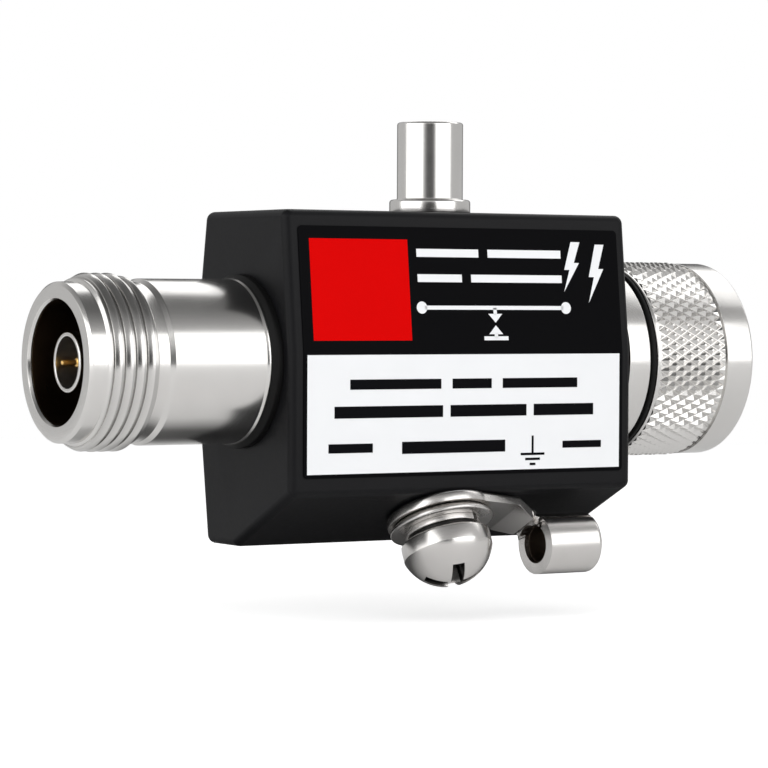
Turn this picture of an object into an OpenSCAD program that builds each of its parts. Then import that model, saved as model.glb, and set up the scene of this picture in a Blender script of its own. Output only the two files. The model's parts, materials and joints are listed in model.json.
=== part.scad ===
// Coaxial surge arrestor: a threaded jack and a plug on one coax line, a gas tube under a
// screw cap, and a ground screw with a crimp lug, all on one black housing.
// The line runs along X. The origin lies on the line at the outer end of the jack's thread.
// +X points to the plug, -Y to the labelled front and +Z to the cap.

/* [Line] */
// Bore of the outer conductor
line_bore_d = 9.2; // [8.8:0.1:9.6]
// Diameter of the centre conductor
conductor_d = 4; // [3.6:0.1:4.4]
// Diameter of the shanks that hold the jack and the plug in the housing
shank_d = 12; // [11.6:0.1:12.6]
// Length of each shank
shank_len = 7; // [5:0.5:8]

/* [Jack] */
// Major diameter of the coupling thread
thread_d = 15.875; // [15.5:0.025:16.2]
// Length of the coupling thread
thread_len = 4.6; // [4:0.1:5.6]
// Length of the plain lead in front of the thread
lead_len = 1.8; // [1.2:0.1:2.4]
// Depth of the lead and of the relief below the thread's crests
lead_set = 0.9; // [0.7:0.05:1]
// Diameter of the mouth
mouth_d = 10.9; // [10.4:0.1:11.4]
// Depth of the mouth
mouth_depth = 9.3; // [8:0.1:11]
// Length of the relief behind the thread
relief_len = 1.2; // [0.8:0.1:1.6]
// Diameter of the plain barrel
barrel_d = 14.7; // [14.5:0.1:15.2]
// Length of the plain barrel
barrel_len = 9.8; // [8:0.1:12]
// Outer diameter of the inner sleeve
sleeve_d = 5.34; // [5.1:0.02:5.6]
// Wall of the inner sleeve
sleeve_wall = 0.4; // [0.3:0.05:0.5]
// Depth of the sleeve's end behind the mouth
sleeve_recess = 1.1; // [0.8:0.1:2]
// Diameter of the jack's pin at its tip
pin_tip_d = 0.45; // [0.3:0.05:0.6]
// Diameter of the jack's pin behind its tip
pin_d = 0.9; // [0.7:0.05:1.2]
// Depth of the pin's tip behind the mouth
pin_recess = 0.6; // [0.3:0.1:1.5]
// Length of the pin's thin tip
pin_tip_len = 1.4; // [0.8:0.1:2]
// Thickness of the black gasket
gasket_t = 1; // [0.6:0.1:1.4]
// Distance that the black gasket stands out round the barrel
gasket_lip = 0.45; // [0.3:0.05:0.7]

/* [Housing] */
// Width along the line
housing_w = 36.5; // [34:0.5:40]
// Height of the top above the line
housing_top = 13.5; // [12.5:0.5:15]
// Depth of the bottom below the line
housing_bottom = 16.7; // [15.5:0.1:18]
// Distance from the line to the front, and to the back at its fullest
housing_reach = 9.1; // [8.9:0.1:10]
// Height of the crease where the front begins to lean back
crease_z = 0.8; // [0:0.1:2]
// Set-back of the top's front edge
top_front_set = 1.35; // [0.6:0.05:2]
// Set-back of the top's back edge
top_back_set = 2.1; // [1:0.1:2.5]
// Set-back of the bottom's back edge
bottom_back_set = 2.5; // [1:0.1:3]
// Height of the sloped face at the lower front
slope_rise = 5.1; // [4.5:0.1:6]
// Depth of the sloped face
slope_run = 10.4; // [9.8:0.1:11]
// Radius of the housing's edges
edge_r = 0.8; // [0.4:0.1:1]

/* [Label] */
// Margin of the label at the sides
label_side = 1.2; // [1:0.1:2]
// Margin of the label at the top and the bottom
label_end = 1.45; // [1.2:0.05:2]
// Thickness of the printed film
label_t = 0.12; // [0.08:0.01:0.2]
// Radius of the label's corners
label_r = 0.4; // [0.2:0.1:0.8]
// Width of the colour field
field_w = 10.2; // [8:0.1:12]
// Margin of the colour field inside the label
field_margin = 1.1; // [0.8:0.1:2]

/* [Plug] */
// Set-back of the plug's barrel from the housing's front and back
plug_barrel_set = 0.3; // [0.1:0.05:0.6]
// Length of the plug's barrel behind the nut
plug_barrel_len = 2.55; // [2:0.05:3.5]
// Diameter of the neck that the nut turns on
neck_d = 13; // [12.7:0.1:13.4]
// Wall of the plug's contact tube
contact_wall = 0.65; // [0.5:0.05:0.8]
// Radial clearance of the contact tube in the mouth of a mating jack
contact_gap = 0.15; // [0.1:0.01:0.2]
// Width of the contact tube's slots
contact_slot = 0.5; // [0.3:0.1:0.8]
// Diameter of the plug's pin
plug_pin_d = 1.6; // [1.3:0.1:2]
// Thickness of the black ring behind the nut
rear_seal_t = 0.45; // [0.3:0.05:0.8]

/* [Nut] */
// Wall of the nut over its thread, up to the tips of the knurl
nut_wall = 1.36; // [1.1:0.02:1.6]
// Depth of the knurl
knurl_depth = 0.4; // [0.25:0.05:0.5]
// Length of the knurl
knurl_len = 7.6; // [6.5:0.1:9]
// Diamonds around the knurl
knurl_around = 60; // [36:2:72]
// Half rows of diamonds along the knurl
knurl_rows = 9; // [5:2:17]
// Depth of the plain rim below the tips of the knurl
rim_set = 0.1; // [0:0.05:0.3]
// Length of the plain rim
rim_len = 3.15; // [2:0.05:4]

/* [Cap] */
// Distance of the cap from the housing's face at the jack
cap_at = 19.9; // [17:0.1:21]
// Diameter of the cap
cap_d = 6.1; // [5.8:0.1:6.6]
// Height of the cap above the housing
cap_h = 8.45; // [7.5:0.05:9.5]
// Distance that the cap's flange stands out
flange_lip = 0.7; // [0.5:0.05:1]
// Thickness of the cap's flange
flange_t = 1.25; // [0.8:0.05:1.6]
// Diameter of the cap's threaded stub
stub_d = 6; // [5.6:0.1:6.2]
// Length of the cap's threaded stub
stub_len = 5.5; // [4.5:0.1:6]
// Diameter of the gas tube
tube_d = 4; // [3.6:0.1:4.1]
// Length of the gas tube's ceramic
tube_len = 4.5; // [4:0.1:5]

/* [Ground] */
// Distance of the ground screw from the housing's face at the jack
screw_at = 17.4; // [15:0.1:21]
// Distance of the ground screw down the sloped face from its front edge
screw_down = 4; // [3.6:0.1:6]
// Diameter of the screw's shank
screw_d = 4; // [3:0.5:4]
// Length of the screw under its head
screw_len = 10; // [8:0.5:11]
// Diameter of the screw's head
head_d = 8.2; // [7.4:0.1:8.6]
// Height of the screw's head
head_h = 4.6; // [3.4:0.1:5.2]
// Length of the cross recess
recess_len = 4.6; // [3.8:0.1:5]
// Width of the cross recess
recess_w = 0.95; // [0.7:0.05:1.2]
// Depth of the cross recess
recess_depth = 1.9; // [1.4:0.1:2.2]
// Diameter of the flat washer
washer_d = 9.5; // [9:0.1:10]
// Thickness of the flat washer
washer_t = 0.7; // [0.5:0.1:0.9]
// Diameter of the spring washer
spring_washer_d = 7; // [6.4:0.1:7.4]
// Thickness of the spring washer
spring_washer_t = 1; // [0.8:0.1:1.2]
// Diameter of the lug's ring
lug_d = 9.7; // [9:0.1:10]
// Thickness of the lug's sheet
lug_t = 1; // [0.8:0.05:1.1]
// Distance from the screw to the lug's wire barrel
lug_reach = 9.6; // [9:0.1:11]
// Length of the step between the lug's tongue and the barrel's roll
lug_step_len = 1.8; // [0.9:0.1:2.4]
// Length over which the sheet rolls up into the barrel
lug_roll_len = 0.6; // [0.4:0.1:1.6]
// Outer diameter of the lug's wire barrel
wire_barrel_d = 5.54; // [5.3:0.02:6]
// Length of the lug's wire barrel
wire_barrel_len = 5.8; // [5:0.1:7]
// Depth of the wire barrel's axis below the sloped face
wire_barrel_drop = 3.9; // [3.9:0.05:4.2]

/* [Fits] */
// Radial clearance of turning and sliding pieces
run_gap = 0.05; // [0.03:0.01:0.08]
// Gap between pieces that move and the faces they stop at
face_gap = 0.08; // [0.05:0.01:0.12]

/* [Hidden] */
$fn = 96;

// Overlap that joins solids of one piece, and overshoot of cuts
join = 0.1;
cut = 1;

nickel = "#c9c6c0";
black = "#1c1c1e";
gold = "#d9a441";

// Radii
line_r = line_bore_d / 2;
conductor_r = conductor_d / 2;
shank_r = shank_d / 2;
thread_r = thread_d / 2;
lead_r = thread_r - lead_set;
mouth_r = mouth_d / 2;
barrel_r = barrel_d / 2;
gasket_r = barrel_r + gasket_lip;
sleeve_r = sleeve_d / 2;
sleeve_bore_r = sleeve_r - sleeve_wall;
plug_barrel_r = housing_reach - plug_barrel_set;
neck_r = neck_d / 2;
contact_r = mouth_r - contact_gap;
contact_bore_r = contact_r - contact_wall;
knurl_tip_r = thread_r + nut_wall;
knurl_low_r = knurl_tip_r - knurl_depth;
rim_r = knurl_tip_r - rim_set;
cap_r = cap_d / 2;
flange_r = cap_r + flange_lip;
stub_r = stub_d / 2;
tube_r = tube_d / 2;

// Places along the line, from the jack's mouth to the nut's rim
mouth_x = -lead_len;
seat_x = mouth_x + mouth_depth;
relief_x = thread_len + relief_len;
barrel_end_x = relief_x + barrel_len;
housing_x0 = barrel_end_x + gasket_t;
housing_x1 = housing_x0 + housing_w;
plug_shoulder_x = housing_x1 + plug_barrel_len;
nut_x0 = plug_shoulder_x + rear_seal_t + 1.5 * face_gap;
nut_lip = 0.25;
rim_groove = 0.2;
knurl_x0 = nut_x0 + nut_lip;
knurl_x1 = knurl_x0 + knurl_len;
nut_x1 = knurl_x1 + rim_len;

// Ends of the jack's turned form
chamfer = 0.3;
thread_run = 0.4;

// Insulators and the joints of the pins with the conductor
insulator_len = 5.5;
nose_len = 4.5;
conductor_reach = 2;
sleeve_hold = 2;
pin_hold = 2;
conductor_x0 = seat_x + insulator_len + pin_hold;
conductor_x1 = housing_x1 + conductor_reach;

// Inside of the coupling nut
nut_wall_t = 1.5;
ring_play = 0.3;
ring_x0 = nut_x0 + nut_wall_t + ring_play;
ring_t = 0.8;
neck_lip = 1.1;
neck_end_x = ring_x0 + ring_t + neck_lip;
seat_lip = 1;
plug_seat_x = neck_end_x - seat_lip;
groove_depth = 0.6;
groove_r = neck_r - groove_depth;
nut_bore_r = thread_r + run_gap;
ring_side = 0.5;
ring_r = nut_bore_r - ring_side;
seal_t = 1.2;
seal_side = 0.4;
seal_r = nut_bore_r - seal_side;
rear_seal_lip = 0.3;
rear_seal_r = plug_barrel_r + rear_seal_lip;
slot_lip = 0.6;
contact_set = 0.8;
contact_x1 = nut_x1 - contact_set;
plug_pin_set = 1.2;

// Housing's section seen along the line, as depth and height, anticlockwise
slope_z = -housing_bottom + slope_rise;
section = [
  [-housing_reach, slope_z],
  [-housing_reach + slope_run, -housing_bottom],
  [housing_reach - bottom_back_set, -housing_bottom],
  [housing_reach, crease_z],
  [housing_reach - top_back_set, housing_top],
  [-housing_reach + top_front_set, housing_top],
  [-housing_reach, crease_z]
];
front_lean = atan(top_front_set / (housing_top - crease_z));
slope_angle = atan(slope_rise / slope_run);

// Places of the cap and the gas tube
cap_x = housing_x0 + cap_at;
flat_depth = 0.3;
flat_margin = 0.5;
flat_z = conductor_r - flat_depth;
tube_side = 0.15;
cap_bore_r = tube_r + tube_side;
cap_top_t = 1.75;
seat_cover = 0.15;
gasket_seat_r = flange_r - seat_cover;
gasket_seat_depth = 0.6;
flange_z = housing_top + face_gap;
stub_z = flange_z - stub_len;
cap_ceiling_z = housing_top + cap_h - cap_top_t;
electrode_t = 0.8;
electrode_post_r = 0.9;
spark_gap = 0.9;
tube_hold = 1.5;
upper_electrode_z = stub_z + tube_hold;
ceramic_wall = 0.6;
stem_r = 1;
ceramic_z = upper_electrode_z - tube_len;
spring_wire_r = 0.22;
spring_turns = 8;

// Heights above the sloped face, outwards
lug_h = face_gap;
washer_h = lug_h + lug_t + face_gap;
spring_washer_h = washer_h + washer_t;
head_h0 = spring_washer_h + spring_washer_t + face_gap;
screw_hole_spare = 1;
head_rim = 1.4;
washer_split = 0.5;

// Set-back of the step's inner bends, which keeps the sheet's thickness
lug_bend = lug_t * tan(atan((wire_barrel_drop - wire_barrel_d / 2 - lug_h) / lug_step_len) / 2);

// Unit vector, outward normal of an edge, and an outline moved inwards
function unit(v) = v / norm(v);
function outward(a, b) = let (d = unit(b - a)) [d[1], -d[0]];
function inset(p, r) = [
  for (i = [0 : len(p) - 1])
    let (n = len(p))
    let (n1 = outward(p[(i + n - 1) % n], p[i]))
    let (n2 = outward(p[i], p[(i + 1) % n]))
    p[i] - r * (n1 + n2) / (1 + n1 * n2)
];

// Round bar along the line
module bar(x0, x1, r) {
  translate([x0, 0, 0])
    rotate([0, 90, 0])
      cylinder(r = r, h = x1 - x0);
}

// Ring along the line
module sleeve(x0, x1, r_out, r_in) {
  difference() {
    bar(x0, x1, r_out);
    bar(x0 - cut, x1 + cut, r_in);
  }
}

// Turned form along the line, from points of radius and place
module turned(points) {
  rotate([0, 90, 0])
    rotate_extrude()
      polygon(points);
}

// Moves local Z onto the outward normal of the sloped face, at the ground screw
module on_slope() {
  translate([
    housing_x0 + screw_at,
    -housing_reach + screw_down * cos(slope_angle),
    slope_z - screw_down * sin(slope_angle)
  ])
    rotate([180 - slope_angle, 0, 0])
      children();
}

// Moves local Y up the front, from the crease, and local Z out of it
module on_front(lean) {
  translate([housing_x0, -housing_reach, crease_z])
    rotate([90 - lean, 0, 0])
      children();
}

module housing_block() {
  hull()
    for (x = [housing_x0 + edge_r, housing_x1 - edge_r])
      for (p = inset(section, edge_r))
        translate([x, p[0], p[1]])
          sphere(r = edge_r, $fn = 32);
}

module housing() {
  color(black)
    difference() {
      housing_block();
      bar(housing_x0 - cut, housing_x1 + cut, line_r);
      bar(housing_x0 - cut, housing_x0 + shank_len, shank_r);
      bar(housing_x1 - shank_len, housing_x1 + cut, shank_r);
      translate([cap_x, 0, 0])
        cylinder(r = stub_r + run_gap, h = housing_top + cut);
      translate([cap_x, 0, housing_top - gasket_seat_depth])
        cylinder(r = gasket_seat_r, h = gasket_seat_depth + cut);
      on_slope()
        translate([0, 0, head_h0 - screw_len - screw_hole_spare])
          cylinder(r = screw_d / 2 + run_gap, h = screw_len + screw_hole_spare);
    }
}

// Flat rectangle with one pair of rounded corners, at the end away from its base
module tab(w, h, r) {
  square([w, h - r]);
  translate([r, 0])
    square([w - 2 * r, h]);
  for (x = [r, w - r])
    translate([x, h - r])
      circle(r);
}

label_w = housing_w - 2 * label_side;
label_up = (housing_top - crease_z) / cos(front_lean) - label_end;
label_down = crease_z - slope_z - label_end;

module label() {
  translate([label_side, 0, 0]) {
    color(black)
      on_front(front_lean)
        translate([0, -join, 0])
          linear_extrude(label_t)
            tab(label_w, label_up + join, label_r);
    color("white")
      on_front(0)
        linear_extrude(label_t)
          mirror([0, 1])
            tab(label_w, label_down, label_r);
    color("red")
      on_front(front_lean)
        translate([field_margin, field_margin, label_t / 2])
          cube([field_w, label_up - 2 * field_margin, label_t]);
  }
}

module jack_shell() {
  color(nickel)
    turned([
      [mouth_r + chamfer, mouth_x],
      [lead_r - chamfer, mouth_x],
      [lead_r, mouth_x + chamfer],
      [lead_r, -thread_run],
      [thread_r, 0],
      [thread_r, thread_len],
      [lead_r, thread_len + thread_run],
      [lead_r, relief_x],
      [barrel_r, relief_x + thread_run],
      [barrel_r, barrel_end_x],
      [shank_r, barrel_end_x],
      [shank_r, housing_x0 + shank_len],
      [line_r, housing_x0 + shank_len],
      [line_r, seat_x],
      [mouth_r, seat_x],
      [mouth_r, mouth_x + chamfer]
    ]);
}

module jack_gasket() {
  color(black)
    turned([
      [shank_r, barrel_end_x],
      [barrel_r, barrel_end_x],
      [gasket_r, barrel_end_x + gasket_lip],
      [gasket_r, housing_x0],
      [shank_r, housing_x0]
    ]);
}

module jack_insulator() {
  color("dimgray")
    difference() {
      union() {
        bar(seat_x, seat_x + insulator_len, line_r);
        bar(seat_x - nose_len, seat_x + join, sleeve_bore_r);
      }
      sleeve(seat_x - cut, seat_x + sleeve_hold, sleeve_r, sleeve_bore_r);
      bar(mouth_x, seat_x + insulator_len + cut, pin_d / 2);
    }
}

module jack_sleeve() {
  color(nickel)
    sleeve(mouth_x + sleeve_recess, seat_x + sleeve_hold, sleeve_r, sleeve_bore_r);
}

module jack_pin() {
  tip_x = mouth_x + pin_recess;
  step_x = tip_x + pin_tip_len;
  color(gold)
    turned([
      [0, tip_x],
      [pin_tip_d / 4, tip_x],
      [pin_tip_d / 2, tip_x + pin_tip_d / 2],
      [pin_tip_d / 2, step_x],
      [pin_d / 2 - join, step_x],
      [pin_d / 2, step_x + join],
      [pin_d / 2, conductor_x0 + pin_hold],
      [0, conductor_x0 + pin_hold]
    ]);
}

module centre_conductor() {
  pad = tube_d + 2 * flat_margin;
  color("goldenrod")
    difference() {
      bar(conductor_x0, conductor_x1, conductor_r);
      bar(conductor_x0 - cut, conductor_x0 + pin_hold, pin_d / 2);
      bar(conductor_x1 - pin_hold, conductor_x1 + cut, plug_pin_d / 2);
      translate([cap_x - pad / 2, -conductor_r, flat_z])
        cube([pad, conductor_d, conductor_r]);
    }
}

module plug_shell() {
  color(nickel)
    difference() {
      turned([
        [line_r, housing_x1 - shank_len],
        [shank_r, housing_x1 - shank_len],
        [shank_r, housing_x1],
        [plug_barrel_r, housing_x1],
        [plug_barrel_r, plug_shoulder_x],
        [neck_r, plug_shoulder_x],
        [neck_r, ring_x0],
        [groove_r, ring_x0],
        [groove_r, ring_x0 + ring_t],
        [neck_r, ring_x0 + ring_t],
        [neck_r, neck_end_x],
        [contact_r, neck_end_x],
        [contact_r, contact_x1 - contact_wall / 2],
        [contact_r - contact_wall / 2, contact_x1],
        [contact_bore_r, contact_x1],
        [contact_bore_r, plug_seat_x],
        [line_r, plug_seat_x]
      ]);
      for (a = [45, 135])
        rotate([a, 0, 0])
          translate([neck_end_x + seal_t + slot_lip, -contact_slot / 2, -mouth_d])
            cube([nut_x1, contact_slot, 2 * mouth_d]);
    }
}

module plug_insulator() {
  color("whitesmoke")
    sleeve(conductor_x1, plug_seat_x, line_r, plug_pin_d / 2);
}

module plug_pin() {
  tip_x = contact_x1 - plug_pin_set;
  color(gold)
    turned([
      [0, conductor_x1 - pin_hold],
      [plug_pin_d / 2, conductor_x1 - pin_hold],
      [plug_pin_d / 2, tip_x - plug_pin_d],
      [plug_pin_d / 5, tip_x],
      [0, tip_x]
    ]);
}

module plug_seal() {
  color("firebrick")
    sleeve(neck_end_x, neck_end_x + seal_t, seal_r, contact_r);
}

module nut_rear_seal() {
  color(black)
    sleeve(plug_shoulder_x, plug_shoulder_x + rear_seal_t, rear_seal_r, neck_r);
}

module nut_retaining_ring() {
  gap_angle = 30;
  color("gray")
    translate([ring_x0, 0, 0])
      rotate([0, 90, 0])
        rotate_extrude(angle = 360 - gap_angle)
          translate([groove_r, 0])
            square([ring_r - groove_r, ring_t]);
}

// Knurl: a lattice of pyramids. Points whose two indices add up to an odd number are the
// tips, and the others are the crossings of the grooves. The end rows lie at the groove's depth.
knurl_n = 2 * knurl_around;

function knurl_id(i, j) = j * knurl_n + (i + knurl_n) % knurl_n;
function knurl_end(j) = j == 0 || j == knurl_rows;
function knurl_r(i, j) = !knurl_end(j) && (i + j) % 2 == 1 ? knurl_tip_r : knurl_low_r;
function knurl_point(i, j) =
  let (a = 360 * i / knurl_n)
  let (r = knurl_r(i, j))
  [knurl_x0 + knurl_len * j / knurl_rows, r * cos(a), r * sin(a)];
function knurl_after(i, j) = [
  [knurl_id(i, j), knurl_id(i, j + 1), knurl_id(i + 1, j)],
  [knurl_id(i, j), knurl_id(i - 1, j), knurl_id(i, j + 1)]
];
function knurl_before(i, j) = [
  [knurl_id(i, j), knurl_id(i + 1, j), knurl_id(i, j - 1)],
  [knurl_id(i, j), knurl_id(i, j - 1), knurl_id(i - 1, j)]
];

module knurl() {
  points = [for (j = [0 : knurl_rows]) for (i = [0 : knurl_n - 1]) knurl_point(i, j)];
  sides = [
    for (j = [0 : knurl_rows])
      for (i = [0 : knurl_n - 1])
        if ((i + j) % 2 == 1)
          each concat(
            j < knurl_rows ? knurl_after(i, j) : [],
            j > 0 ? knurl_before(i, j) : []
          )
  ];
  first_end = [for (i = [0 : knurl_n - 1]) knurl_id(i, 0)];
  last_end = [for (i = [0 : knurl_n - 1]) knurl_id(knurl_n - 1 - i, knurl_rows)];
  polyhedron(points, concat(sides, [first_end, last_end]));
}

module coupling_nut() {
  color(nickel)
    difference() {
      union() {
        knurl();
        turned([
          [0, nut_x0],
          [knurl_low_r - nut_lip, nut_x0],
          [knurl_low_r - join / 2, knurl_x0],
          [knurl_low_r - join / 2, knurl_x0 + join],
          [0, knurl_x0 + join]
        ]);
        turned([
          [0, knurl_x1 - join],
          [knurl_low_r - rim_groove, knurl_x1 - join],
          [knurl_low_r - rim_groove, knurl_x1 + rim_groove / 2],
          [rim_r, knurl_x1 + chamfer],
          [rim_r, nut_x1 - chamfer],
          [rim_r - chamfer, nut_x1],
          [0, nut_x1]
        ]);
      }
      bar(nut_x0 - cut, nut_x1 + cut, neck_r + run_gap);
      bar(nut_x0 + nut_wall_t, nut_x1 + cut, nut_bore_r);
    }
}

module cap() {
  top_z = housing_top + cap_h;
  color(nickel)
    translate([cap_x, 0, 0])
      rotate_extrude()
        polygon([
          [cap_bore_r, stub_z],
          [stub_r - chamfer, stub_z],
          [stub_r, stub_z + chamfer],
          [stub_r, flange_z],
          [flange_r, flange_z],
          [flange_r, flange_z + flange_t - chamfer],
          [flange_r - chamfer, flange_z + flange_t],
          [cap_r, flange_z + flange_t],
          [cap_r, top_z - chamfer],
          [cap_r - chamfer, top_z],
          [0, top_z],
          [0, cap_ceiling_z],
          [cap_bore_r, cap_ceiling_z]
        ]);
}

module cap_gasket() {
  color("darkslategray")
    translate([cap_x, 0, housing_top - gasket_seat_depth])
      difference() {
        cylinder(r = gasket_seat_r, h = gasket_seat_depth - face_gap / 2);
        translate([0, 0, -cut])
          cylinder(r = stub_r + run_gap, h = gasket_seat_depth + 2 * cut);
      }
}

// Spring: a round wire along a helix, with its ends on the electrode and under the cap
spring_sides = 8;
spring_steps = 16 * spring_turns;
spring_side = 0.25;
spring_r = tube_r - spring_wire_r - spring_side;
spring_z0 = upper_electrode_z + electrode_t + spring_wire_r;
spring_z1 = cap_ceiling_z - spring_wire_r - face_gap;

function spring_point(k, s) =
  let (a = 360 * spring_turns * k / spring_steps)
  let (b = 360 * s / spring_sides)
  let (r = spring_r + spring_wire_r * cos(b))
  let (z = spring_z0 + (spring_z1 - spring_z0) * k / spring_steps)
  [r * cos(a), r * sin(a), z + spring_wire_r * sin(b)];
function spring_id(k, s) = k * spring_sides + s % spring_sides;

module cap_spring() {
  points = [for (k = [0 : spring_steps]) for (s = [0 : spring_sides - 1]) spring_point(k, s)];
  walls = [
    for (k = [0 : spring_steps - 1])
      for (s = [0 : spring_sides - 1])
        each [
          [spring_id(k, s), spring_id(k, s + 1), spring_id(k + 1, s)],
          [spring_id(k, s + 1), spring_id(k + 1, s + 1), spring_id(k + 1, s)]
        ]
  ];
  first_end = [for (s = [0 : spring_sides - 1]) spring_id(0, spring_sides - 1 - s)];
  last_end = [for (s = [0 : spring_sides - 1]) spring_id(spring_steps, s)];
  color("silver")
    translate([cap_x, 0, 0])
      polyhedron(points, concat(walls, [first_end, last_end]));
}

module gas_tube_ceramic() {
  color("ivory")
    translate([cap_x, 0, ceramic_z])
      difference() {
        cylinder(r = tube_r, h = tube_len);
        translate([0, 0, -cut])
          cylinder(r = tube_r - ceramic_wall, h = tube_len + 2 * cut);
      }
}

module gas_tube_lower_electrode() {
  stem_z = flat_z + face_gap;
  post = (tube_len - spark_gap) / 2;
  color("silver")
    translate([cap_x, 0, 0])
      rotate_extrude()
        polygon([
          [0, stem_z],
          [stem_r, stem_z],
          [stem_r, ceramic_z - electrode_t],
          [tube_r, ceramic_z - electrode_t],
          [tube_r, ceramic_z],
          [electrode_post_r, ceramic_z],
          [electrode_post_r, ceramic_z + post],
          [0, ceramic_z + post]
        ]);
}

module gas_tube_upper_electrode() {
  post = (tube_len - spark_gap) / 2;
  color("silver")
    translate([cap_x, 0, 0])
      rotate_extrude()
        polygon([
          [0, upper_electrode_z - post],
          [electrode_post_r, upper_electrode_z - post],
          [electrode_post_r, upper_electrode_z],
          [tube_r, upper_electrode_z],
          [tube_r, upper_electrode_z + electrode_t],
          [0, upper_electrode_z + electrode_t]
        ]);
}

// Pan head: a sphere's cap on a short rim, with a cross recess
module ground_screw() {
  head_r = head_d / 2;
  dome = head_h - head_rim;
  dome_r = (head_r * head_r + dome * dome) / (2 * dome);
  color(nickel)
    on_slope()
      translate([0, 0, head_h0])
        difference() {
          union() {
            intersection() {
              cylinder(r = head_r, h = head_h + cut);
              translate([0, 0, head_h - dome_r])
                sphere(r = dome_r);
            }
            translate([0, 0, -screw_len])
              cylinder(r = screw_d / 2, h = screw_len + join);
          }
          for (a = [20, 110])
            rotate([0, 0, a])
              translate([-recess_len / 2, -recess_w / 2, head_h - recess_depth])
                cube([recess_len, recess_w, recess_depth + cut]);
          translate([0, 0, head_h - recess_depth])
            cylinder(r1 = recess_w / 2, r2 = recess_w * 1.4, h = recess_depth + cut / 2);
        }
}

module spring_washer() {
  color("gray")
    on_slope()
      translate([0, 0, spring_washer_h])
        difference() {
          cylinder(r = spring_washer_d / 2, h = spring_washer_t);
          translate([0, 0, -cut])
            cylinder(r = screw_d / 2 + 2 * run_gap, h = spring_washer_t + 2 * cut);
          rotate([0, 0, 60])
            translate([0, -washer_split / 2, -cut])
              cube([spring_washer_d, washer_split, spring_washer_t + 2 * cut]);
        }
}

module flat_washer() {
  color(nickel)
    on_slope()
      translate([0, 0, washer_h])
        difference() {
          cylinder(r = washer_d / 2, h = washer_t);
          translate([0, 0, -cut])
            cylinder(r = screw_d / 2 + 2 * run_gap, h = washer_t + 2 * cut);
        }
}

// Lug: a ring and a tapered tongue, a step that narrows down in the sheet, and the rolled barrel
module ground_lug() {
  wire_r = wire_barrel_d / 2;
  tongue_x = lug_reach - lug_step_len - lug_roll_len;
  roll_x = lug_reach - lug_roll_len;
  tongue_w = wire_barrel_d;
  step_end_w = wire_barrel_d / 2;
  step_h = wire_barrel_drop - wire_r - lug_h;
  color(nickel)
    on_slope()
      difference() {
        union() {
          translate([0, 0, lug_h])
            cylinder(r = lug_d / 2, h = lug_t);
          translate([0, 0, lug_h])
            linear_extrude(lug_t)
              polygon([
                [0, -lug_d / 2],
                [tongue_x, -tongue_w / 2],
                [tongue_x, tongue_w / 2],
                [0, lug_d / 2]
              ]);
          intersection() {
            translate([0, tongue_w / 2, lug_h])
              rotate([90, 0, 0])
                linear_extrude(tongue_w)
                  polygon([
                    [tongue_x - lug_t, 0],
                    [tongue_x, 0],
                    [roll_x, step_h],
                    [lug_reach, step_h],
                    [lug_reach, step_h + lug_t],
                    [roll_x - lug_bend, step_h + lug_t],
                    [tongue_x - lug_bend, lug_t],
                    [tongue_x - lug_t, lug_t]
                  ]);
            linear_extrude(wire_barrel_drop)
              polygon([
                [tongue_x - lug_t, -tongue_w / 2],
                [tongue_x, -tongue_w / 2],
                [lug_reach, -step_end_w / 2],
                [lug_reach, step_end_w / 2],
                [tongue_x, tongue_w / 2],
                [tongue_x - lug_t, tongue_w / 2]
              ]);
          }
          translate([0, 0, wire_barrel_drop])
            bar(lug_reach, lug_reach + wire_barrel_len, wire_r);
          intersection() {
            translate([0, 0, wire_barrel_drop])
              bar(roll_x, lug_reach + join, wire_r);
            translate([0, -wire_r, 0])
              cube([2 * lug_reach, wire_barrel_d, wire_barrel_drop - wire_r / 2]);
          }
        }
        translate([0, 0, -cut])
          cylinder(r = screw_d / 2 + 2 * run_gap, h = lug_t + 2 * cut);
        translate([0, 0, wire_barrel_drop])
          bar(roll_x - cut, lug_reach + wire_barrel_len + cut, wire_r - lug_t);
      }
}

housing();
label();
jack_shell();
jack_gasket();
jack_insulator();
jack_sleeve();
jack_pin();
centre_conductor();
plug_shell();
plug_insulator();
plug_pin();
plug_seal();
nut_rear_seal();
nut_retaining_ring();
coupling_nut();
cap();
cap_gasket();
cap_spring();
gas_tube_ceramic();
gas_tube_lower_electrode();
gas_tube_upper_electrode();
ground_screw();
spring_washer();
flat_washer();
ground_lug();
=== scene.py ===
# %% [markdown]
# This lesson dresses a coax lightning arrestor for a studio picture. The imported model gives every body
# and every place, in metres. Each step below makes one visible piece of it, or one finish.

import json
from math import asin, cos, pi, radians, sin, tan

import bmesh
import bpy
from mathutils import Matrix, Vector


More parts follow.
